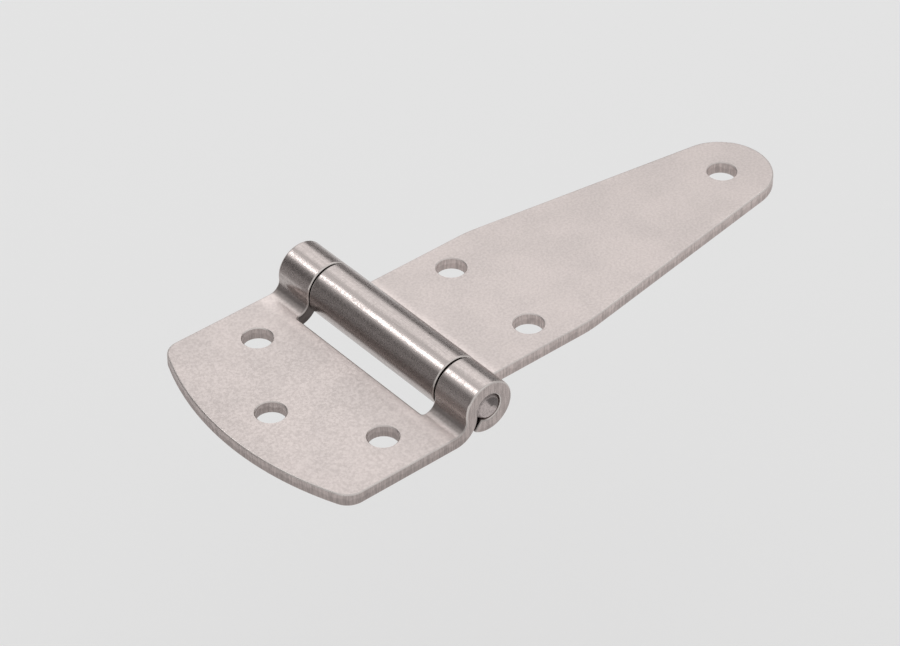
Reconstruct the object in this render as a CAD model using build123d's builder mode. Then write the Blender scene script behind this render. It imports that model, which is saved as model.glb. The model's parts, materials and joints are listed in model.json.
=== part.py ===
from build123d import *
import os
from math import acos, asin, atan2, cos, degrees, radians, sin, sqrt

# A flat hinge, lying open: a short wide leaf and a long tapered strap, each one folded sheet, on one pin.
# X runs along the strap to its tip, Y along the pin and Z up from the plane that both leaves are screwed to.
# The origin is midway between the short leaf's two side holes, on that plane.

# Sheet and pin
sheet = 3.0                 # thickness of both leaves
pin_diameter = 6.0
pin_hold = 0.01             # radial fit of the pin in the end knuckles, which grip it
pin_run = 0.05              # radial running clearance of the pin in the centre knuckle
pin_chamfer = 0.6
bend_radius = 2.6           # inside radius of the bend from each leaf up to its knuckle
barrel_lift = 0.45          # height of the barrel's underside over the mounting plane
seam_gap = 0.5              # gap between the end of a rolled knuckle and its own leaf

# Widths along the pin
leaf_width = 61.8           # also the length of the barrel
strap_width = 40.6          # also the length of the centre knuckle
knuckle_gap = 0.4

# Short leaf, measured from the pin's axis
leaf_reach = 43.2
leaf_edge_radius = 72.0     # the outer edge is a shallow arc
leaf_corner_radius = 4.5
slot_corner_radius = 0.6    # the slot beside the centre knuckle ends this far into the flat sheet
leaf_pair_reach = 19.5      # the two side holes
leaf_pair_inset = 10.15     # from the leaf's sides to these holes
leaf_hole_inset = 11.1      # from the outer edge to the single hole on the centre line

# Strap, measured from the pin's axis
strap_reach = 106.8
strap_tip_radius = 11.5     # the tip hole is at the middle of this arc
taper_start = 37.6
shoulder_radius = 30.0      # softens the corner where the taper starts
strap_pair_reach = 26.8     # the two holes near the barrel
strap_pair_inset = 7.7      # from the strap's sides to these holes

# Holes and edges
hole_diameter = 6.6         # clears an M6 screw
hole_chamfer = 0.2
edge_round = 0.4            # the cut edges of the sheet are tumbled

# Worked out from the sizes above
slot_length = strap_width + 2 * knuckle_gap
pin_radius = pin_diameter / 2
hold_bore = pin_radius + pin_hold
run_bore = pin_radius + pin_run
barrel_radius = run_bore + sheet
axis_height = barrel_lift + barrel_radius
clear_height = 2 * (axis_height + barrel_radius)

# Both planes have their origin under the middle of the pin
pin_x = leaf_pair_reach
mount_plane = Plane(origin=(pin_x, 0, 0))
section_plane = Plane(origin=(pin_x, 0, 0), x_dir=(1, 0, 0), z_dir=(0, -1, 0))


def bend_distance(bore):
    """How far from the pin's axis a leaf's flat ends and the bend up to its knuckle of this bore starts."""
    rise = axis_height - sheet - bend_radius
    return sqrt((bend_radius + bore + sheet) ** 2 - rise ** 2)


def knuckle_section(side, bore, flat_end):
    """Section of a leaf across the pin: its flat on the side +1 or -1, the bend up and the roll over the pin.

    The bend and the roll are tangent arcs, so the line between their centres crosses both at one angle.
    The roll passes over the top and ends under the barrel, seam_gap short of the bend's underside.
    """
    axis = (0, axis_height)
    bend = (bend_distance(bore), sheet + bend_radius)
    roll = bore + sheet
    underside = bend_radius + sheet
    span = bend_radius + roll
    tangent = degrees(atan2(bend[1] - axis[1], bend[0]))
    stop = underside + seam_gap
    seam_angle = degrees(acos((roll ** 2 + span ** 2 - stop ** 2) / (2 * roll * span)))
    roll_end = tangent + 360 - seam_angle
    roll_middle = (tangent + roll_end) / 2
    bend_middle = (tangent + 180 + 270) / 2

    def point(x, z):
        return (side * x, z)

    def around(centre, radius, angle):
        return point(centre[0] + radius * cos(radians(angle)), centre[1] + radius * sin(radians(angle)))

    with BuildSketch(section_plane) as section:
        with BuildLine():
            Line(point(flat_end, sheet), point(bend[0], sheet))
            ThreePointArc(
                point(bend[0], sheet),
                around(bend, bend_radius, bend_middle),
                around(axis, roll, tangent),
            )
            ThreePointArc(
                around(axis, roll, tangent),
                around(axis, roll, roll_middle),
                around(axis, roll, roll_end),
            )
            Line(around(axis, roll, roll_end), around(axis, bore, roll_end))
            ThreePointArc(
                around(axis, bore, roll_end),
                around(axis, bore, roll_middle),
                around(axis, bore, tangent),
            )
            ThreePointArc(
                around(axis, bore, tangent),
                around(bend, underside, bend_middle),
                point(bend[0], 0),
            )
            Polyline(point(bend[0], 0), point(flat_end, 0), point(flat_end, sheet))
        make_face()
    return section.sketch


def sharp_edges(solid):
    """The edges of a folded sheet where two faces meet at an angle, which are the edges that were cut."""
    def is_sharp(edge):
        middle = edge.position_at(0.5)
        first, second = [face.normal_at(middle) for face in solid.faces() if edge in face.edges()]
        return first.get_angle(second) > 45
    return solid.edges().filter_by(is_sharp)


os.makedirs("parts", exist_ok=True)

# Short leaf: two end knuckles, an arc for an outer edge, a slot for the centre knuckle and three holes
slot_edge = bend_distance(hold_bore) + slot_corner_radius
leaf_corner_x = leaf_edge_radius - leaf_reach - sqrt(leaf_edge_radius ** 2 - (leaf_width / 2) ** 2)
with BuildPart() as short_leaf:
    extrude(knuckle_section(-1, hold_bore, leaf_reach), amount=leaf_width / 2, both=True)
    with BuildSketch(mount_plane) as leaf_outline:
        with BuildLine():
            ThreePointArc((leaf_corner_x, -leaf_width / 2), (-leaf_reach, 0), (leaf_corner_x, leaf_width / 2))
            Polyline(
                (leaf_corner_x, leaf_width / 2),
                (clear_height, leaf_width / 2),
                (clear_height, -leaf_width / 2),
                (leaf_corner_x, -leaf_width / 2),
            )
        make_face()
        fillet(leaf_outline.vertices().group_by(Axis.X)[0], leaf_corner_radius)
    extrude(amount=clear_height, mode=Mode.INTERSECT)
    with BuildSketch(mount_plane) as slot:
        with Locations(((clear_height - slot_edge) / 2, 0)):
            Rectangle(clear_height + slot_edge, slot_length)
        fillet(slot.vertices().group_by(Axis.X)[0], slot_corner_radius)
    extrude(amount=clear_height, mode=Mode.SUBTRACT)
    fillet(sharp_edges(short_leaf.part), edge_round)
    with BuildSketch(mount_plane):
        with Locations((leaf_hole_inset - leaf_reach, 0)):
            Circle(hole_diameter / 2)
        with Locations((-leaf_pair_reach, 0)):
            with GridLocations(0, leaf_width - 2 * leaf_pair_inset, 1, 2):
                Circle(hole_diameter / 2)
    extrude(amount=sheet, mode=Mode.SUBTRACT)
    chamfer(short_leaf.edges(Select.LAST).filter_by(GeomType.CIRCLE), hole_chamfer)
short_leaf.part.label = "short_leaf"
export_step(short_leaf.part, "parts/short_leaf.step")

# Strap: a centre knuckle, parallel sides, then a taper tangent to the round tip, and three holes
tip_x = strap_reach - strap_tip_radius
half_strap = strap_width / 2
tip_distance = sqrt((tip_x - taper_start) ** 2 + half_strap ** 2)
taper_angle = degrees(atan2(half_strap, tip_x - taper_start)) - degrees(asin(strap_tip_radius / tip_distance))
tip_tangent_x = tip_x + strap_tip_radius * sin(radians(taper_angle))
tip_tangent_y = strap_tip_radius * cos(radians(taper_angle))
with BuildPart() as strap_leaf:
    extrude(knuckle_section(1, run_bore, strap_reach), amount=half_strap, both=True)
    with BuildSketch(mount_plane) as strap_outline:
        with BuildLine():
            Polyline(
                (tip_tangent_x, -tip_tangent_y),
                (taper_start, -half_strap),
                (-clear_height, -half_strap),
                (-clear_height, half_strap),
                (taper_start, half_strap),
                (tip_tangent_x, tip_tangent_y),
            )
            ThreePointArc((tip_tangent_x, tip_tangent_y), (strap_reach, 0), (tip_tangent_x, -tip_tangent_y))
        make_face()
        fillet(strap_outline.vertices().group_by(Axis.X)[1], shoulder_radius)
    extrude(amount=clear_height, mode=Mode.INTERSECT)
    fillet(sharp_edges(strap_leaf.part), edge_round)
    with BuildSketch(mount_plane):
        with Locations((tip_x, 0)):
            Circle(hole_diameter / 2)
        with Locations((strap_pair_reach, 0)):
            with GridLocations(0, strap_width - 2 * strap_pair_inset, 1, 2):
                Circle(hole_diameter / 2)
    extrude(amount=sheet, mode=Mode.SUBTRACT)
    chamfer(strap_leaf.edges(Select.LAST).filter_by(GeomType.CIRCLE), hole_chamfer)
strap_leaf.part.label = "strap_leaf"
export_step(strap_leaf.part, "parts/strap_leaf.step")

# Pin: one plain round pin, flush with the ends of the barrel
with BuildPart() as hinge_pin:
    with BuildSketch(section_plane):
        with Locations((0, axis_height)):
            Circle(pin_radius)
    extrude(amount=leaf_width / 2, both=True)
    chamfer(hinge_pin.edges().filter_by(GeomType.CIRCLE), pin_chamfer)
hinge_pin.part.label = "hinge_pin"
export_step(hinge_pin.part, "parts/hinge_pin.step")
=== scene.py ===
"""Dresses a flat strap hinge of stainless sheet: its leaves' and its pin's finish, and a stage."""

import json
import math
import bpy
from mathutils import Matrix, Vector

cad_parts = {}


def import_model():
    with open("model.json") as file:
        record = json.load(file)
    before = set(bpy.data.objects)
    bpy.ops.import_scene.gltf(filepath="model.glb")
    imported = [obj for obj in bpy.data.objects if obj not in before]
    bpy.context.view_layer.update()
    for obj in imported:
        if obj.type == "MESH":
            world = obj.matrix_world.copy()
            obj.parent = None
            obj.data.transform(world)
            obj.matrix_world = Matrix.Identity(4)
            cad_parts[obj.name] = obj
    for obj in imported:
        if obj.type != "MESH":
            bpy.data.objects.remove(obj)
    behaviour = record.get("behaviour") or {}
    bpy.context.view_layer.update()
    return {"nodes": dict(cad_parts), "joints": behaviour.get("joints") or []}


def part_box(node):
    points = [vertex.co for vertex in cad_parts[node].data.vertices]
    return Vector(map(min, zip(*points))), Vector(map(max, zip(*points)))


bl_info = {
    "name": "Flat Hinge Finish",
    "version": (1, 0, 0),
    "blender": (4, 5, 0),
    "location": "3D View > Sidebar > Hinge",
    "description": "Gives a flat strap hinge its tumbled stainless finish and sets it on a plain stage",
    "category": "Object",
}

import bpy
import numpy as np
from mathutils import Matrix, Vector

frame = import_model()

MM = 0.001
MM_PER_METRE = 1000.0
BUMP_DEPTH = 0.02 * MM

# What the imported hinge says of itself, in metres
PIN_AXIS = Vector(frame["joints"][0]["pos_m"])
STRAP_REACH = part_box("strap_leaf")[1].x - PIN_AXIS.x
BARREL_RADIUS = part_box("strap_leaf")[1].z - PIN_AXIS.z
PIN_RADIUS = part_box("hinge_pin")[1].z - PIN_AXIS.z
BARREL_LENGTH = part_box("short_leaf")[1].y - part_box("short_leaf")[0].y


# Settings that a user would change


class HingeSheetSettings(bpy.types.PropertyGroup):
    """Finish of the two leaves"""

    light_tone: bpy.props.FloatVectorProperty(
        name="Light tone",
        description="Colour of the tumbled sheet where it is cleanest",
        subtype="COLOR", size=3, min=0, max=1, default=(0.635, 0.567, 0.545),
    )
    dull_tone: bpy.props.FloatVectorProperty(
        name="Dull tone",
        description="Colour of the tumbled sheet in its duller clouds",
        subtype="COLOR", size=3, min=0, max=1, default=(0.612, 0.55, 0.53),
    )
    edge_tone: bpy.props.FloatVectorProperty(
        name="Edge tone",
        description="Colour of the rounded edges, which rub brightest",
        subtype="COLOR", size=3, min=0, max=1, default=(0.78, 0.73, 0.70),
    )
    wall_tone: bpy.props.FloatVectorProperty(
        name="Cut wall tone",
        description="Colour of the punched walls of the outline and the holes",
        subtype="COLOR", size=3, min=0, max=1, default=(0.495, 0.43, 0.412),
    )
    # Painted shade: the dark tone painted under the barrel's roll, between the knuckles and at the rim of
    # the bore, where shade falls
    painted_shade_tone: bpy.props.FloatVectorProperty(
        name="Painted shade tone",
        description="Colour under the barrel and between the knuckles, where the tumbling never reached",
        subtype="COLOR", size=3, min=0, max=1, default=(0.11, 0.094, 0.089),
    )
    flat_roughness: bpy.props.FloatProperty(
        name="Flat roughness",
        description="Roughness of the flat sheet",
        subtype="FACTOR", min=0, max=1, default=0.38,
    )
    knuckle_roughness: bpy.props.FloatProperty(
        name="Knuckle roughness",
        description="Roughness of the rolled knuckles, which the roll has burnished",
        subtype="FACTOR", min=0, max=1, default=0.22,
    )
    grain_size: bpy.props.FloatProperty(
        name="Grain size",
        description="Size of the dents that the tumbling leaves",
        unit="LENGTH", min=0.05 * MM, max=5 * MM, default=0.55 * MM,
    )
    cloud_size: bpy.props.FloatProperty(
        name="Cloud size",
        description="Size of the soft clouds in tone",
        unit="LENGTH", min=1 * MM, max=100 * MM, default=11 * MM,
    )
    tear_height: bpy.props.FloatProperty(
        name="Tear height",
        description="Height over the mounting plane below which the punched walls are torn, not sheared",
        unit="LENGTH", min=0, max=10 * MM, default=1.7 * MM,
    )
    bend_reach: bpy.props.FloatProperty(
        name="Bend reach",
        description="Distance from the pin's axis at which both leaves are flat",
        unit="LENGTH", min=1 * MM, max=50 * MM, default=8.75 * MM,
    )
    bend_radius: bpy.props.FloatProperty(
        name="Bend radius",
        description="Inside radius of the bend from each leaf up to its knuckle",
        unit="LENGTH", min=0.1 * MM, max=20 * MM, default=2.6 * MM,
    )
    bend_height: bpy.props.FloatProperty(
        name="Bend height",
        description="Height over the mounting plane of the line that the bend turns about",
        unit="LENGTH", min=0, max=50 * MM, default=5.6 * MM,
    )
    hollow_roughness: bpy.props.FloatProperty(
        name="Hollow roughness",
        description="Roughness in the hollow of the bend, which the tumbling hardly reaches",
        subtype="FACTOR", min=0, max=1, default=0.60,
    )


class HingePinSettings(bpy.types.PropertyGroup):
    """Finish of the pin"""

    tone: bpy.props.FloatVectorProperty(
        name="Pin tone",
        description="Colour of the turned pin",
        subtype="COLOR", size=3, min=0, max=1, default=(0.535, 0.468, 0.456),
    )
    roughness: bpy.props.FloatProperty(
        name="Pin roughness",
        description="Roughness of the turned pin",
        subtype="FACTOR", min=0, max=1, default=0.30,
    )
    ring_pitch: bpy.props.FloatProperty(
        name="Ring pitch",
        description="Distance between the rings that the lathe tool left",
        unit="LENGTH", min=0.05 * MM, max=2 * MM, default=0.32 * MM,
    )
    tear_angle: bpy.props.FloatProperty(
        name="Tear angle",
        description="Direction from the middle of each end to its torn side, from +X toward +Z",
        unit="ROTATION", default=math.radians(42),
    )
    tear_start: bpy.props.FloatProperty(
        name="Tear start",
        description="Distance from the middle of each end at which its torn side starts",
        unit="LENGTH", min=-5 * MM, max=5 * MM, default=0.35 * MM,
    )


class HingeStageSettings(bpy.types.PropertyGroup):
    """Floor, light and camera"""

    floor_tone: bpy.props.FloatVectorProperty(
        name="Floor tone",
        description="Colour of the floor and of the backdrop that it curves up into",
        subtype="COLOR", size=3, min=0, max=1, default=(0.85, 0.85, 0.85),
    )
    floor_drop: bpy.props.FloatProperty(
        name="Floor drop",
        description="Room between the floor and the lowest point that the strap swings to",
        unit="LENGTH", min=0, max=1, default=9 * MM,
    )
    floor_plainness: bpy.props.FloatProperty(
        name="Floor plainness",
        description="Share of the floor that shows its plain tone; the rest shows its light and shadow",
        subtype="FACTOR", min=0, max=1, default=0.5,
    )
    back_level: bpy.props.FloatProperty(
        name="Back level",
        description="Strength of the dim surroundings behind the hinge, near the horizon",
        min=0, max=2, default=0.17,
    )
    front_level: bpy.props.FloatProperty(
        name="Front level",
        description="Strength of the paler surroundings in front of the hinge, near the horizon",
        min=0, max=2, default=0.6,
    )
    ceiling_level: bpy.props.FloatProperty(
        name="Ceiling level",
        description="Strength of the pale ceiling",
        min=0, max=2, default=0.78,
    )
    softbox_power: bpy.props.FloatProperty(
        name="Softbox power",
        description="Power of the large softbox overhead",
        unit="POWER", min=0, max=100, default=1.42,
    )
    key_power: bpy.props.FloatProperty(
        name="Key power",
        description="Power of the small softbox that draws the line of light on the barrel",
        unit="POWER", min=0, max=100, default=0.48,
    )
    card_tone: bpy.props.FloatVectorProperty(
        name="Card tone",
        description="Colour of the dark cards that the barrel shows along both its sides",
        subtype="COLOR", size=3, min=0, max=1, default=(0.22, 0.213, 0.213),
    )
    card_foot_tone: bpy.props.FloatVectorProperty(
        name="Card foot tone",
        description="Colour of the dark cards at their foot and toward the short leaf",
        subtype="COLOR", size=3, min=0, max=1, default=(0.52, 0.505, 0.505),
    )
    camera_azimuth: bpy.props.FloatProperty(
        name="Camera azimuth",
        description="Direction of the camera around the hinge, from looking along +Y",
        unit="ROTATION", default=math.radians(-40.065),
    )
    camera_elevation: bpy.props.FloatProperty(
        name="Camera elevation",
        description="Height of the camera above the horizon",
        unit="ROTATION", default=math.radians(38.90),
    )
    camera_roll: bpy.props.FloatProperty(
        name="Camera roll",
        description="Turn of the camera about its own line of sight",
        unit="ROTATION", default=math.radians(-0.332),
    )
    camera_aim: bpy.props.FloatVectorProperty(
        name="Camera aim",
        description="Point on the mounting plane at the middle of the picture",
        subtype="TRANSLATION", unit="LENGTH", size=3, default=(36.21 * MM, 1.15 * MM, 0),
    )
    camera_distance: bpy.props.FloatProperty(
        name="Camera distance",
        description="Distance from the aim to the camera",
        unit="LENGTH", min=0.01, max=10, default=694.8 * MM,
    )
    camera_lens: bpy.props.FloatProperty(
        name="Camera lens",
        description="Focal length on a sensor 36 mm wide",
        subtype="DISTANCE_CAMERA", min=1, max=500, default=131.06,
    )


# Node trees


def opaque(colour):
    """A colour with full alpha, as colour sockets take it."""
    return (*colour, 1.0)


class Wiring:
    """Adds nodes to one tree, in rows."""

    columns = 10
    step = (220, -320)

    def __init__(self, tree):
        self.tree = tree

    def feed(self, socket, value):
        """Links an input to another socket, or sets it to a plain value. None leaves it as it is."""
        if isinstance(value, bpy.types.NodeSocket):
            self.tree.links.new(value, socket)
        elif value is not None:
            socket.default_value = value

    def node(self, kind, inputs=None, **settings):
        row, column = divmod(len(self.tree.nodes), self.columns)
        made = self.tree.nodes.new(kind)
        made.location = (column * self.step[0], row * self.step[1])
        for name, value in settings.items():
            setattr(made, name, value)
        for name, value in (inputs or {}).items():
            self.feed(made.inputs[name], value)
        return made

    def math(self, operation, first, second=None, clamp=False):
        made = self.node("ShaderNodeMath", {0: first}, operation=operation, use_clamp=clamp)
        self.feed(made.inputs[1], second)
        return made.outputs[0]

    def vector(self, operation, first, second):
        made = self.node("ShaderNodeVectorMath", {0: first, 1: second}, operation=operation)
        return made.outputs["Vector"]

    def parts(self, vector):
        return self.node("ShaderNodeSeparateXYZ", {"Vector": vector}).outputs

    def ramp(self, value, start, end, low=0.0, high=1.0):
        """Goes smoothly from low to high as value goes from start to end, either way round."""
        if start > end:
            start, end, low, high = end, start, high, low
        inputs = {"Value": value, "From Min": start, "From Max": end, "To Min": low, "To Max": high}
        return self.node("ShaderNodeMapRange", inputs, interpolation_type="SMOOTHSTEP").outputs["Result"]

    def between(self, share, low, high):
        """Goes smoothly from low to high as a share goes from none to full."""
        return self.ramp(share, 0.0, 1.0, low, high)

    def weighted_sum(self, total, weights, clamp=False):
        """The total plus each value times its weight."""
        for value, weight in weights:
            total = self.math("ADD", total, self.math("MULTIPLY", value, weight), clamp=clamp)
        return total

    def length(self, along, across):
        """Length of a step that goes along one axis and across it."""
        along = self.math("MULTIPLY", along, along)
        across = self.math("MULTIPLY", across, across)
        return self.math("SQRT", self.math("ADD", along, across))

    def complement(self, share):
        """Sine of an angle from its cosine, or its cosine from its sine."""
        squared = self.math("MULTIPLY", share, share)
        return self.math("SQRT", self.math("SUBTRACT", 1.0, squared, clamp=True))

    def noise(self, position, scale, detail=2.0, roughness=0.5):
        inputs = {"Vector": position, "Scale": scale, "Detail": detail, "Roughness": roughness}
        return self.node("ShaderNodeTexNoise", inputs).outputs["Fac"]

    def mix_colour(self, factor, first, second, blend="MIX"):
        made = self.node("ShaderNodeMix", data_type="RGBA", blend_type=blend)
        sockets = {socket.identifier: socket for socket in made.inputs}
        self.feed(sockets["Factor_Float"], factor)
        self.feed(sockets["A_Color"], first)
        self.feed(sockets["B_Color"], second)
        return next(socket for socket in made.outputs if socket.identifier == "Result_Color")

    def shade(self, tone, factor):
        """A tone made darker or paler by a factor."""
        return self.mix_colour(1.0, tone, factor, blend="MULTIPLY")

    def group(self, tree, inputs):
        return self.node("ShaderNodeGroup", inputs, node_tree=tree).outputs


def new_group(name, inputs, outputs):
    """An empty shader node group with float or vector sockets, its wiring, and its inner ends."""
    tree = bpy.data.node_groups.new(name, "ShaderNodeTree")
    for label, kind in inputs.items():
        tree.interface.new_socket(label, in_out="INPUT", socket_type=kind)
    for label in outputs:
        tree.interface.new_socket(label, in_out="OUTPUT", socket_type="NodeSocketFloat")
    wiring = Wiring(tree)
    given = wiring.node("NodeGroupInput").outputs
    result = wiring.node("NodeGroupOutput").inputs
    return tree, wiring, given, result


def tumbled_grain_group():
    """Marks of vibratory tumbling, from a position in millimetres.

    Dents are fine noise of the grain's size, Clouds are soft noise of the cloud's size, and Scratches are
    thin ridges of noise that is drawn out along several directions in turn.
    """
    tree, wiring, given, result = new_group(
        "Tumbled grain",
        {
            "Position": "NodeSocketVector",
            "Grain Size": "NodeSocketFloat",
            "Cloud Size": "NodeSocketFloat",
        },
        ("Dents", "Clouds", "Scratches"),
    )
    dent_range = (0.3, 0.7)
    cloud_range = (0.32, 0.68)
    position = given["Position"]
    grain_scale = wiring.math("DIVIDE", 1.0, given["Grain Size"])
    cloud_scale = wiring.math("DIVIDE", 1.0, given["Cloud Size"])
    dents = wiring.noise(position, grain_scale, detail=4.0, roughness=0.62)
    clouds = wiring.noise(position, cloud_scale, detail=4.0, roughness=0.55)
    wiring.feed(result["Dents"], wiring.ramp(dents, *dent_range))
    wiring.feed(result["Clouds"], wiring.ramp(clouds, *cloud_range))

    scratch_stretch = (0.11, 5.5, 5.5)
    scratch_angles = [math.radians(angle) for angle in (12, 55, 97, 149)]
    scratch_range = (0.66, 0.74)
    shift_per_radian = Vector((7.0, 3.0, 0.0))
    scratches = 0.0
    for angle in scratch_angles:
        turned = wiring.node(
            "ShaderNodeMapping",
            {"Vector": position, "Rotation": (0, 0, angle), "Location": tuple(shift_per_radian * angle)},
        ).outputs["Vector"]
        drawn_out = wiring.vector("MULTIPLY", turned, scratch_stretch)
        ridge = wiring.ramp(wiring.noise(drawn_out, 1.0, detail=1.0), *scratch_range)
        scratches = wiring.math("MAXIMUM", ridge, scratches)
    wiring.feed(result["Scratches"], scratches)
    return tree


def drawn_lines_group():
    """Fine parallel lines, from a position that is scaled down along the lines and up across them."""
    tree, wiring, given, result = new_group(
        "Drawn lines",
        {"Position": "NodeSocketVector", "Stretch": "NodeSocketVector"},
        ("Lines",),
    )
    line_range = (0.3, 0.7)
    stretched = wiring.vector("MULTIPLY", given["Position"], given["Stretch"])
    lines = wiring.noise(stretched, 1.0, detail=3.0, roughness=0.6)
    wiring.feed(result["Lines"], wiring.ramp(lines, *line_range))
    return tree


def punched_wall_group():
    """Torn share of a punched wall, from a position and a height in millimetres.

    The punch shears the upper part of a wall smooth and the lower part tears. The border between them
    wanders up and down with noise along the wall.
    """
    tree, wiring, given, result = new_group(
        "Punched wall",
        {
            "Position": "NodeSocketVector",
            "Height": "NodeSocketFloat",
            "Tear Height": "NodeSocketFloat",
        },
        ("Torn",),
    )
    waves_per_mm = 0.55
    wander_range = (0.25, 0.75)
    wander_reach = 0.45
    border = 0.12
    along_wall = wiring.vector("MULTIPLY", given["Position"], (waves_per_mm, waves_per_mm, 0.0))
    waves = wiring.noise(along_wall, 1.0, detail=3.0)
    wander = wiring.ramp(waves, *wander_range, -wander_reach, wander_reach)
    below = wiring.math("SUBTRACT", wiring.math("ADD", given["Tear Height"], wander), given["Height"])
    wiring.feed(result["Torn"], wiring.ramp(below, -border, border))
    return tree


def fold_map_group():
    """Masks of where a point is on a folded and rolled sheet, from its place about the pin and its normal.

    A sheet's face turns with the fold, so the tilt from face to cut wall is read from the normal's Z on
    the flats and from its Y on the bend and the roll. Wall is where the tilt is full and Edge where it is
    half. Knuckle fades out along the bend. Painted Shade is where a painted shade goes: the side of the
    roll about the shaded side's direction, as far as the cosine of its spread, the walls between the
    knuckles out to their reach, and the rim of the bore. Hollow and Painted Light are where the sheet is
    near the line that
    the bend turns about, in bend radii: Hollow where its face has left the flat, and Painted Light on the
    flat beside it, where a lighter band is painted to even out the shade that the barrel casts there.
    """
    tree, wiring, given, result = new_group(
        "Fold map",
        {
            "Place": "NodeSocketVector",
            "Normal": "NodeSocketVector",
            "Barrel Radius": "NodeSocketFloat",
            "Barrel Length": "NodeSocketFloat",
            "Bend Reach": "NodeSocketFloat",
            "Bend Radius": "NodeSocketFloat",
            "Bend Drop": "NodeSocketFloat",
            "Bend Side": "NodeSocketFloat",
            "Shaded Side": "NodeSocketVector",
            "Shaded Spread": "NodeSocketFloat",
            "Between Reach": "NodeSocketFloat",
        },
        ("Knuckle", "Wall", "Edge", "Painted Shade", "Hollow", "Painted Light"),
    )

    # Where each mask starts and where it is full, in the measure that it is read from
    wall_tilts = (0.8, 0.99)
    edge_tilts = (0.25, 0.9)
    knuckle_rounds = (1.45, 1.03)
    shaded_turns = (0.0, 0.85)
    shaded_rounds = (1.35, 1.0)
    shaded_share = 0.47
    between_lengths = (0.46, 0.42)
    between_rounds = (0.0, -0.3)
    bore_rounds = (0.57, 0.5)
    steep_normals = (0.995, 0.87)
    steep_rounds = (1.03, 1.22)
    level_normals = (0.94, 0.995)
    hollow_bends = (1.4, 1.05)
    painted_light_bends = (1.9, 1.05)

    # Walls and edges: halfway is the sine of twice the tilt, which is full where an edge is half round
    place = wiring.parts(given["Place"])
    normal = wiring.parts(given["Normal"])
    away = wiring.math("ABSOLUTE", place["X"])
    rolled = wiring.math("LESS_THAN", away, given["Bend Reach"])
    flat_tilt = wiring.complement(normal["Z"])
    rolled_tilt = wiring.math("ABSOLUTE", normal["Y"])
    tilt_gap = wiring.math("SUBTRACT", rolled_tilt, flat_tilt)
    tilt = wiring.weighted_sum(flat_tilt, ((rolled, tilt_gap),), clamp=True)
    halfway = wiring.math("MULTIPLY", wiring.math("MULTIPLY", tilt, wiring.complement(tilt)), 2.0)
    wall = wiring.ramp(tilt, *wall_tilts)
    wiring.feed(result["Wall"], wall)
    wiring.feed(result["Edge"], wiring.ramp(halfway, *edge_tilts))

    # Knuckles, and painted shade under the roll, between the knuckles and at the rim of the bore
    radius = wiring.length(place["X"], place["Z"])
    rounds = wiring.math("DIVIDE", radius, given["Barrel Radius"])
    wiring.feed(result["Knuckle"], wiring.ramp(rounds, *knuckle_rounds))
    side = wiring.parts(given["Shaded Side"])
    toward_x = wiring.math("MULTIPLY", place["X"], side["X"])
    toward_z = wiring.math("MULTIPLY", place["Z"], side["Z"])
    toward = wiring.math("DIVIDE", wiring.math("ADD", toward_x, toward_z), radius)
    spread = given["Shaded Spread"]
    past_spread = wiring.math("SUBTRACT", toward, spread)
    turned_away = wiring.math("DIVIDE", past_spread, wiring.math("SUBTRACT", 1.0, spread))
    on_side = wiring.ramp(turned_away, *shaded_turns)
    near = wiring.math("MULTIPLY", on_side, wiring.ramp(rounds, *shaded_rounds))
    under = wiring.math("MULTIPLY", near, wiring.between(wall, shaded_share, 0.0))
    along = wiring.math("DIVIDE", wiring.math("ABSOLUTE", place["Y"]), given["Barrel Length"])
    past_reach = wiring.math("SUBTRACT", rounds, given["Between Reach"])
    off_ends = wiring.ramp(along, *between_lengths)
    inside = wiring.math("MULTIPLY", off_ends, wiring.ramp(past_reach, *between_rounds))
    between = wiring.math("MULTIPLY", wiring.math("MULTIPLY", wall, rolled), inside)
    at_bore = wiring.math("MULTIPLY", wall, wiring.ramp(rounds, *bore_rounds))
    painted_shade = wiring.math("MAXIMUM", under, wiring.math("MAXIMUM", between, at_bore))
    wiring.feed(result["Painted Shade"], painted_shade)

    # The bend's hollow, and the band beside it where a lighter tone is painted to even out the barrel's
    # shade
    leafward = wiring.math("MULTIPLY", place["X"], given["Bend Side"])
    from_line = wiring.math("SUBTRACT", leafward, given["Bend Reach"])
    over_line = wiring.math("ADD", place["Z"], given["Bend Drop"])
    bends = wiring.math("DIVIDE", wiring.length(from_line, over_line), given["Bend Radius"])
    tilted = wiring.ramp(normal["Z"], *steep_normals)
    steep = wiring.math("MULTIPLY", tilted, wiring.ramp(rounds, *steep_rounds))
    level = wiring.ramp(normal["Z"], *level_normals)
    wiring.feed(result["Hollow"], wiring.math("MULTIPLY", steep, wiring.ramp(bends, *hollow_bends)))
    wiring.feed(result["Painted Light"], wiring.math("MULTIPLY", level, wiring.ramp(bends, *painted_light_bends)))
    return tree


def shared_group(name, make):
    """The node group of that name, made once."""
    return bpy.data.node_groups.get(name) or make()


# Materials


def empty_material(name):
    """A material with no nodes, and its wiring."""
    material = bpy.data.materials.new(name)
    material.use_nodes = True
    material.node_tree.nodes.clear()
    return material, Wiring(material.node_tree)


def new_material(name):
    """A material with only a Principled shader, its wiring and the shader's inputs."""
    material, wiring = empty_material(name)
    shader = wiring.node("ShaderNodeBsdfPrincipled")
    output = wiring.node("ShaderNodeOutputMaterial")
    wiring.feed(output.inputs["Surface"], shader.outputs["BSDF"])
    return material, wiring, shader.inputs


def place_and_normal(wiring):
    """A point's position and place about the pin, in millimetres, and its normal, on the piece itself."""
    coordinates = wiring.node("ShaderNodeTexCoord").outputs
    to_mm = (MM_PER_METRE,) * 3
    position = wiring.vector("MULTIPLY", coordinates["Object"], to_mm)
    place = wiring.vector("SUBTRACT", position, tuple(PIN_AXIS * MM_PER_METRE))
    return position, place, coordinates["Normal"]


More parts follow.
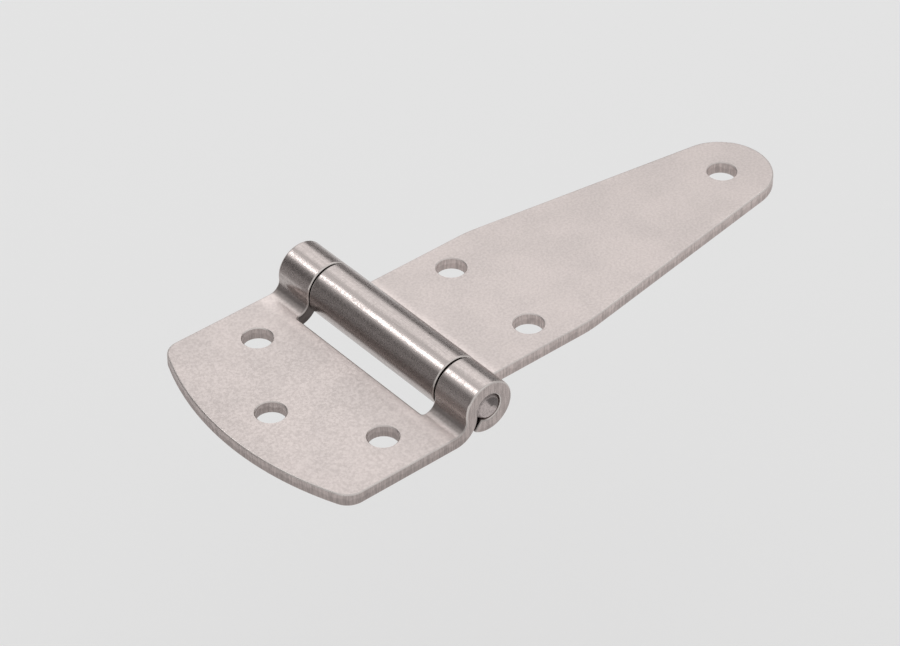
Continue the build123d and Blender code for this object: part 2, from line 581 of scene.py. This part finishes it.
def sheet_material(
    name, settings, shift, bend_side, wall_light_level, shaded_angle, shaded_spread, between_reach
):
    """Tumbled stainless sheet.

    Shift moves its pattern, in millimetres, so that no two leaves share one. Bend side is -1 or 1, the side
    of the pin that the leaf is on. Wall light level paints its cut walls paler or duller: painted light
    where it is above 1 and painted shade where it is below. Its knuckles get painted shade about the shaded
    angle round the pin, counted from +X toward +Z, within the spread to either side. The walls between the
    knuckles get painted shade out to their reach, in barrel radii.
    """
    material, wiring, shader = new_material(name)
    position, place, normal = place_and_normal(wiring)
    shifted = wiring.vector("ADD", position, shift)
    grain = wiring.group(
        shared_group("Tumbled grain", tumbled_grain_group),
        {
            "Position": shifted,
            "Grain Size": settings.grain_size * MM_PER_METRE,
            "Cloud Size": settings.cloud_size * MM_PER_METRE,
        },
    )
    fold = wiring.group(
        shared_group("Fold map", fold_map_group),
        {
            "Place": place,
            "Normal": normal,
            "Barrel Radius": BARREL_RADIUS * MM_PER_METRE,
            "Barrel Length": BARREL_LENGTH * MM_PER_METRE,
            "Bend Reach": settings.bend_reach * MM_PER_METRE,
            "Bend Radius": settings.bend_radius * MM_PER_METRE,
            "Bend Drop": (PIN_AXIS.z - settings.bend_height) * MM_PER_METRE,
            "Bend Side": bend_side,
            "Shaded Side": (math.cos(shaded_angle), 0.0, math.sin(shaded_angle)),
            "Shaded Spread": math.cos(shaded_spread),
            "Between Reach": between_reach,
        },
    )
    lines = shared_group("Drawn lines", drawn_lines_group)
    roll_stretch = (2.6, 0.05, 2.6)
    punch_stretch = (2.4, 2.4, 0.22)
    roll_lines = wiring.group(lines, {"Position": shifted, "Stretch": roll_stretch})["Lines"]
    punch_lines = wiring.group(lines, {"Position": shifted, "Stretch": punch_stretch})["Lines"]
    torn = wiring.group(
        shared_group("Punched wall", punched_wall_group),
        {
            "Position": shifted,
            "Height": wiring.parts(position)["Z"],
            "Tear Height": settings.tear_height * MM_PER_METRE,
        },
    )["Torn"]
    roll_marks = wiring.math("MULTIPLY", roll_lines, fold["Knuckle"])
    punch_marks = wiring.math("MULTIPLY", punch_lines, fold["Wall"])
    torn_wall = wiring.math("MULTIPLY", torn, fold["Wall"])

    # Colour: clouds, dents, roll lines, painted shade in the bend's hollow and painted light beside it,
    # walls with painted light or shade per leaf, worn edges, and painted shade under the roll, between the
    # knuckles and at the bore
    dent_shades = (0.95, 1.03)
    roll_shades = (1.0, 0.88)
    knuckle_shades = (1.0, 0.9)
    hollow_painted_shades = (1.0, 0.68)
    painted_light_shades = (1.0, 1.19)
    # The wall light level paints each leaf's cut walls paler or duller: painted light on the strap, painted
    # shade on the short leaf
    punch_shades = (0.84 * wall_light_level, 1.16 * wall_light_level)
    torn_shades = (1.06, 0.98)
    worn_shares = (0.85, 0.45)
    tone = wiring.mix_colour(grain["Clouds"], opaque(settings.light_tone), opaque(settings.dull_tone))
    tone = wiring.shade(tone, wiring.between(grain["Dents"], *dent_shades))
    roll_shade = wiring.between(roll_marks, *roll_shades)
    roll_shade = wiring.math("MULTIPLY", roll_shade, wiring.between(fold["Knuckle"], *knuckle_shades))
    tone = wiring.shade(tone, roll_shade)
    # Painted shade in the bend's hollow
    bend_shade = wiring.between(fold["Hollow"], *hollow_painted_shades)
    # Painted light: a lighter band on the flat beside the bend, evening out the shade that the barrel casts
    # there
    bend_shade = wiring.math("MULTIPLY", bend_shade, wiring.between(fold["Painted Light"], *painted_light_shades))
    tone = wiring.shade(tone, bend_shade)
    wall_shade = wiring.between(punch_lines, *punch_shades)
    wall_shade = wiring.math("MULTIPLY", wall_shade, wiring.between(torn, *torn_shades))
    wall_tone = wiring.shade(opaque(settings.wall_tone), wall_shade)
    tone = wiring.mix_colour(fold["Wall"], tone, wall_tone)
    worn = wiring.math("MULTIPLY", fold["Edge"], wiring.between(grain["Clouds"], *worn_shares))
    tone = wiring.mix_colour(worn, tone, opaque(settings.edge_tone))
    # Painted shade under the roll, between the knuckles and at the rim of the bore
    tone = wiring.mix_colour(fold["Painted Shade"], tone, opaque(settings.painted_shade_tone))
    wiring.feed(shader["Base Color"], tone)

    # Roughness: smoother on knuckles and worn edges, rougher in clouds, in the bend's hollow and on walls
    cloud_roughness = (settings.flat_roughness - 0.015, settings.flat_roughness + 0.02)
    dent_rises = (0.05, -0.05)
    rises = (
        (fold["Knuckle"], settings.knuckle_roughness - settings.flat_roughness),
        (fold["Hollow"], settings.hollow_roughness - settings.flat_roughness),
        (roll_marks, 0.07),
        (punch_marks, 0.08),
        (torn_wall, 0.14),
        (worn, -0.08),
    )
    roughness = wiring.between(grain["Clouds"], *cloud_roughness)
    roughness = wiring.math("ADD", roughness, wiring.between(grain["Dents"], *dent_rises))
    roughness = wiring.weighted_sum(roughness, rises, clamp=True)
    wiring.feed(shader["Roughness"], roughness)
    shader["Metallic"].default_value = 1.0

    # Relief: dents, scratches, roll lines along the barrel, punch lines through the thickness and tears
    dent_depths = (0.6, 0.2)
    depths = (
        (grain["Scratches"], -0.25),
        (roll_marks, 0.35),
        (punch_marks, 0.8),
        (torn_wall, -0.9),
    )
    dent_depth = wiring.between(fold["Knuckle"], *dent_depths)
    relief = wiring.math("MULTIPLY", grain["Dents"], dent_depth)
    relief = wiring.weighted_sum(relief, depths)
    bump = wiring.node("ShaderNodeBump", {"Strength": 0.35, "Distance": BUMP_DEPTH, "Height": relief})
    wiring.feed(shader["Normal"], bump.outputs["Normal"])
    return material


def pin_material(name, settings):
    """Turned stainless bar, cropped at its ends.

    Rings run round the axis along its length and on its ends, over a fine grain. The cropping sheared one
    side of each end smooth, and the other side tore: the tear starts at a distance from the middle along
    the tear's direction, and its border wanders with the grain. The torn side is rough and sunk, and its
    dark tone is partly the torn finish and partly painted shade on that side of each end. The groove at the
    rim of each end is darkened by painted shade.
    """
    material, wiring, shader = new_material(name)
    position, place, normal = place_and_normal(wiring)
    grain = wiring.group(
        shared_group("Tumbled grain", tumbled_grain_group),
        {"Position": position, "Grain Size": 0.4, "Cloud Size": 2.5},
    )
    end_normals = (0.5, 0.9)
    wobble_turns = 0.35
    parts = wiring.parts(place)
    radius = wiring.length(parts["X"], parts["Z"])
    on_end = wiring.ramp(wiring.math("ABSOLUTE", wiring.parts(normal)["Y"]), *end_normals)
    along = wiring.math("MULTIPLY", parts["Y"], wiring.math("SUBTRACT", 1.0, on_end))
    travel = wiring.math("ADD", wiring.math("MULTIPLY", radius, on_end), along)
    wobble = wiring.math("MULTIPLY", grain["Clouds"], wobble_turns)
    turns = wiring.math("DIVIDE", travel, settings.ring_pitch * MM_PER_METRE)
    phase = wiring.math("MULTIPLY", wiring.math("ADD", turns, wobble), math.tau)
    rings = wiring.ramp(wiring.math("SINE", phase), -1.0, 1.0)

    # Torn side of each end, in millimetres along the tear's direction
    tear_way = (math.cos(settings.tear_angle), 0.0, math.sin(settings.tear_angle))
    tear_start = settings.tear_start * MM_PER_METRE
    cloud_wander = (-0.35, 0.35)
    dent_wander = (-0.3, 0.3)
    border = 0.4
    toward_tear = wiring.parts(wiring.vector("MULTIPLY", place, tear_way))
    tear_reach = wiring.math("ADD", toward_tear["X"], toward_tear["Z"])
    tear_reach = wiring.math("ADD", tear_reach, wiring.between(grain["Clouds"], *cloud_wander))
    tear_reach = wiring.math("ADD", tear_reach, wiring.between(grain["Dents"], *dent_wander))
    past_start = wiring.ramp(tear_reach, tear_start - border, tear_start + border)
    torn = wiring.math("MULTIPLY", on_end, past_start)

    # Colour: turned rings, painted shade in the groove at the rim of each end, the torn side, whose dark
    # tone is partly torn finish and partly painted shade, and fine grain
    pin_radius = PIN_RADIUS * MM_PER_METRE
    pin_end = BARREL_LENGTH / 2 * MM_PER_METRE
    rim_radii = (0.80 * pin_radius, 0.87 * pin_radius)
    rim_reaches = (pin_end - 0.8, pin_end - 0.5)
    ring_shades = (0.84, 1.08)
    groove_painted_shades = (1.0, 0.75)
    torn_shades = (1.05, 0.36)
    dent_shades = (0.82, 1.12)
    rim = wiring.ramp(radius, *rim_radii)
    past_flat = wiring.ramp(wiring.math("ABSOLUTE", parts["Y"]), *rim_reaches)
    groove = wiring.math("MULTIPLY", rim, past_flat)
    ring_shade = wiring.between(rings, *ring_shades)
    ring_shade = wiring.math("MULTIPLY", ring_shade, wiring.between(groove, *groove_painted_shades))
    # The torn side's dark tone: partly torn finish, partly painted shade
    ring_shade = wiring.math("MULTIPLY", ring_shade, wiring.between(torn, *torn_shades))
    tone = wiring.shade(opaque(settings.tone), ring_shade)
    tone = wiring.shade(tone, wiring.between(grain["Dents"], *dent_shades))
    wiring.feed(shader["Base Color"], tone)

    # Roughness and relief: the torn side is rougher and lies deeper
    cloud_roughness = (settings.roughness - 0.05, settings.roughness + 0.08)
    rises = ((torn, 0.2), (rings, -0.06))
    depths = ((grain["Dents"], 0.4), (torn, -2.0))
    roughness = wiring.between(grain["Clouds"], *cloud_roughness)
    wiring.feed(shader["Roughness"], wiring.weighted_sum(roughness, rises, clamp=True))
    shader["Metallic"].default_value = 1.0
    relief = wiring.weighted_sum(rings, depths)
    bump = wiring.node("ShaderNodeBump", {"Strength": 0.4, "Distance": BUMP_DEPTH, "Height": relief})
    wiring.feed(shader["Normal"], bump.outputs["Normal"])
    return material


def floor_material(name, settings):
    """Matt pale floor.

    What sees it directly or in the metal gets part of its plain tone, and the rest is lit.
    """
    material, wiring = empty_material(name)
    matt = wiring.node("ShaderNodeBsdfDiffuse", {"Color": opaque(settings.floor_tone)})
    plain = wiring.node("ShaderNodeEmission", {"Color": opaque(settings.floor_tone), "Strength": 1.0})
    path = wiring.node("ShaderNodeLightPath").outputs
    seen = wiring.math("MAXIMUM", path["Is Camera Ray"], path["Is Glossy Ray"])
    seen = wiring.math("MAXIMUM", seen, path["Is Transmission Ray"])
    share = wiring.math("MULTIPLY", seen, settings.floor_plainness)
    mixed = wiring.node(
        "ShaderNodeMixShader",
        {0: share, 1: matt.outputs["BSDF"], 2: plain.outputs["Emission"]},
    )
    output = wiring.node("ShaderNodeOutputMaterial")
    wiring.feed(output.inputs["Surface"], mixed.outputs["Shader"])
    return material


def card_material(name, settings, distance):
    """Matt dark card that far from the barrel, paler toward its foot and toward the short leaf's side."""
    foot_heights = (0.33, 0.0)
    side_headings = (math.radians(136), math.radians(156))
    material, wiring, shader = new_material(name)
    coordinates = wiring.node("ShaderNodeTexCoord").outputs
    parts = wiring.parts(wiring.vector("SUBTRACT", coordinates["Object"], tuple(PIN_AXIS)))
    foot_share = wiring.ramp(wiring.math("DIVIDE", parts["Z"], distance), *foot_heights)
    heading = wiring.math("ARCTAN2", parts["Y"], parts["X"])
    side_share = wiring.ramp(heading, *side_headings)
    share = wiring.math("MAXIMUM", foot_share, side_share)
    tone = wiring.mix_colour(share, opaque(settings.card_tone), opaque(settings.card_foot_tone))
    wiring.feed(shader["Base Color"], tone)
    shader["Roughness"].default_value = 1.0
    shader["Specular IOR Level"].default_value = 0.0
    return material


def dress(node_name, material):
    """Puts a material on a CAD node's own slot."""
    node = frame["nodes"][node_name]
    node.material_slots[0].material = material


# Stage


def link(made):
    """Puts an object in the scene."""
    bpy.context.scene.collection.objects.link(made)
    return made


def grid_mesh(name, points):
    """A mesh of four-cornered faces between the neighbours in a grid of points."""
    rows, columns = points.shape[:2]
    index = np.arange(rows * columns).reshape(rows, columns)
    corners = (index[:-1, :-1], index[1:, :-1], index[1:, 1:], index[:-1, 1:])
    faces = np.stack(corners, axis=-1).reshape(-1, 4)
    mesh = bpy.data.meshes.new(name)
    mesh.from_pydata(points.reshape(-1, 3).tolist(), [], faces.tolist())
    return mesh


def backdrop_mesh(name, level):
    """A square floor at that level that curves up on every side.

    Height over a grid of x and y: level, plus the rise times a smooth step of the distance from the
    middle between the radius where the curve starts and the radius where it ends.
    """
    half_side = 3.2
    steps = 96
    curve_start = 1.6
    curve_end = 3.0
    rise = 0.65
    line = np.linspace(-half_side, half_side, steps + 1)
    x, y = np.meshgrid(line, line, indexing="ij")
    share = np.clip((np.hypot(x, y) - curve_start) / (curve_end - curve_start), 0, 1)
    z = level + rise * share * share * (3 - 2 * share)
    mesh = grid_mesh(name, np.stack([x, y, z], axis=-1))
    mesh.shade_smooth()
    return mesh


def card_mesh(name, distance, heading, half_width, low, high):
    """An upright sheet round the barrel that spans those angles, in degrees.

    Points over a grid of turn and rise: the distance along the turn's direction, and the distance times
    the tangent of the rise above the pin.
    """
    steps = 8
    turn, rise = np.meshgrid(
        np.radians(np.linspace(heading - half_width, heading + half_width, steps + 1)),
        np.radians(np.linspace(low, high, steps + 1)),
    )
    around = np.stack([np.cos(turn), np.sin(turn), np.tan(rise)], axis=-1)
    return grid_mesh(name, np.array(PIN_AXIS) + distance * around)


def dark_card(name, settings, distance, **span):
    """A card that only the metal shows."""
    made = link(bpy.data.objects.new(name, card_mesh(name, distance, **span)))
    made.data.materials.append(card_material(name, settings, distance))
    made.visible_camera = False
    made.visible_shadow = False
    made.visible_diffuse = False


def softbox(name, toward, distance, size, power):
    """A square lamp that far from the barrel in that direction, turned to face it."""
    lamp = bpy.data.lights.new(name, "AREA")
    lamp.shape = "SQUARE"
    lamp.size = size
    lamp.energy = power
    made = link(bpy.data.objects.new(name, lamp))
    direction = Vector(toward).normalized()
    made.location = PIN_AXIS + direction * distance
    made.rotation_mode = "QUATERNION"
    made.rotation_quaternion = direction.to_track_quat("Z", "Y")
    made.visible_camera = False


def camera(settings):
    """The camera looks at its aim from an azimuth and an elevation, rolled about its line of sight."""
    data = bpy.data.cameras.new("photo_camera")
    data.sensor_fit = "HORIZONTAL"
    data.sensor_width = 36.0
    data.lens = settings.camera_lens
    data.clip_start = 0.01
    made = link(bpy.data.objects.new("photo_camera", data))
    azimuth = settings.camera_azimuth
    elevation = settings.camera_elevation
    back = Vector((
        math.sin(azimuth) * math.cos(elevation),
        -math.cos(azimuth) * math.cos(elevation),
        math.sin(elevation),
    ))
    right = Vector((math.cos(azimuth), math.sin(azimuth), 0.0))
    upright = Matrix((right, back.cross(right), back)).transposed()
    rolled = upright @ Matrix.Rotation(settings.camera_roll, 3, "Z")
    place = Vector(settings.camera_aim) + back * settings.camera_distance
    made.matrix_world = Matrix.Translation(place) @ rolled.to_4x4()
    return made


def world(settings):
    """Surroundings that are dim behind the hinge, paler in front of it and pale overhead.

    The level goes from back to front with the direction's Y, and from there to the ceiling with its Z
    plus a small share of its X, so the ceiling leans toward the strap.
    """
    front_sides = (0.25, -0.25)
    ceiling_heights = (0.30, 0.74)
    lean = 0.15
    made = bpy.data.worlds.new("studio")
    made.use_nodes = True
    wiring = Wiring(made.node_tree)
    direction = wiring.node("ShaderNodeTexCoord").outputs["Generated"]
    parts = wiring.parts(direction)
    low_level = wiring.ramp(parts["Y"], *front_sides, settings.back_level, settings.front_level)
    height = wiring.weighted_sum(parts["Z"], ((parts["X"], lean),))
    level = wiring.ramp(height, *ceiling_heights, low_level, settings.ceiling_level)
    background = made.node_tree.nodes["Background"]
    background.inputs["Color"].default_value = (1.0, 1.0, 1.0, 1.0)
    wiring.feed(background.inputs["Strength"], level)
    return made


# Operators


class HINGE_OT_dress_leaves(bpy.types.Operator):
    """Give both leaves their tumbled stainless finish"""

    bl_idname = "hinge.dress_leaves"
    bl_label = "Dress Leaves"

    def execute(self, context):
        settings = context.scene.hinge_sheet
        # Each leaf's wall light level paints its cut walls as painted light or shade, and its shaded angle,
        # spread and reach place painted shade on its roll
        short_leaf = sheet_material(
            "tumbled_short_leaf", settings, shift=(0.0, 0.0, 0.0), bend_side=-1.0, wall_light_level=0.94,
            shaded_angle=math.radians(226), shaded_spread=math.radians(46), between_reach=2.2,
        )
        strap = sheet_material(
            "tumbled_strap", settings, shift=(37.0, 61.0, 19.0), bend_side=1.0, wall_light_level=1.17,
            shaded_angle=math.radians(168), shaded_spread=math.radians(24), between_reach=1.1,
        )
        dress("short_leaf", short_leaf)
        dress("strap_leaf", strap)
        return {"FINISHED"}


class HINGE_OT_dress_pin(bpy.types.Operator):
    """Give the pin its turned finish"""

    bl_idname = "hinge.dress_pin"
    bl_label = "Dress Pin"

    def execute(self, context):
        dress("hinge_pin", pin_material("turned_pin", context.scene.hinge_pin))
        return {"FINISHED"}


class HINGE_OT_set_stage(bpy.types.Operator):
    """Set the floor, the lamps, the surroundings and the camera"""

    bl_idname = "hinge.set_stage"
    bl_label = "Set Stage"

    def execute(self, context):
        settings = context.scene.hinge_stage
        scene = context.scene
        level = PIN_AXIS.z - STRAP_REACH - settings.floor_drop
        floor = link(bpy.data.objects.new("floor", backdrop_mesh("floor", level)))
        floor.data.materials.append(floor_material("pale_floor", settings))
        softbox(
            "flat_softbox",
            toward=(0.605, 0.545, 0.58),
            distance=1.0,
            size=0.95,
            power=settings.softbox_power,
        )
        softbox(
            "line_softbox",
            toward=(-0.306, 0.596, 0.742),
            distance=1.0,
            size=0.18,
            power=settings.key_power,
        )
        dark_card("left_card", settings, distance=0.32, heading=140, half_width=28, low=-18, high=33)
        dark_card("right_card", settings, distance=0.9, heading=37, half_width=13, low=-6, high=25)
        scene.world = world(settings)
        scene.camera = camera(settings)
        scene.view_settings.view_transform = "Standard"
        return {"FINISHED"}


class HINGE_PT_panel(bpy.types.Panel):
    """Lists the hinge's finishes and its stage"""

    bl_idname = "HINGE_PT_panel"
    bl_label = "Flat Hinge"
    bl_space_type = "VIEW_3D"
    bl_region_type = "UI"
    bl_category = "Hinge"

    def draw(self, context):
        scene = context.scene
        for group, operator in (
            (scene.hinge_sheet, HINGE_OT_dress_leaves),
            (scene.hinge_pin, HINGE_OT_dress_pin),
            (scene.hinge_stage, HINGE_OT_set_stage),
        ):
            column = self.layout.column()
            column.operator(operator.bl_idname)
            for name in group.__annotations__:
                column.prop(group, name)


CLASSES = (
    HingeSheetSettings,
    HingePinSettings,
    HingeStageSettings,
    HINGE_OT_dress_leaves,
    HINGE_OT_dress_pin,
    HINGE_OT_set_stage,
    HINGE_PT_panel,
)
SETTINGS = {
    "hinge_sheet": HingeSheetSettings,
    "hinge_pin": HingePinSettings,
    "hinge_stage": HingeStageSettings,
}


def register():
    for made in CLASSES:
        bpy.utils.register_class(made)
    for name, kind in SETTINGS.items():
        setattr(bpy.types.Scene, name, bpy.props.PointerProperty(type=kind))


def unregister():
    for name in SETTINGS:
        delattr(bpy.types.Scene, name)
    for made in reversed(CLASSES):
        bpy.utils.unregister_class(made)


def main():
    register()
    bpy.ops.hinge.dress_leaves()
    bpy.ops.hinge.dress_pin()
    bpy.ops.hinge.set_stage()


if __name__ == "__main__":
    main()
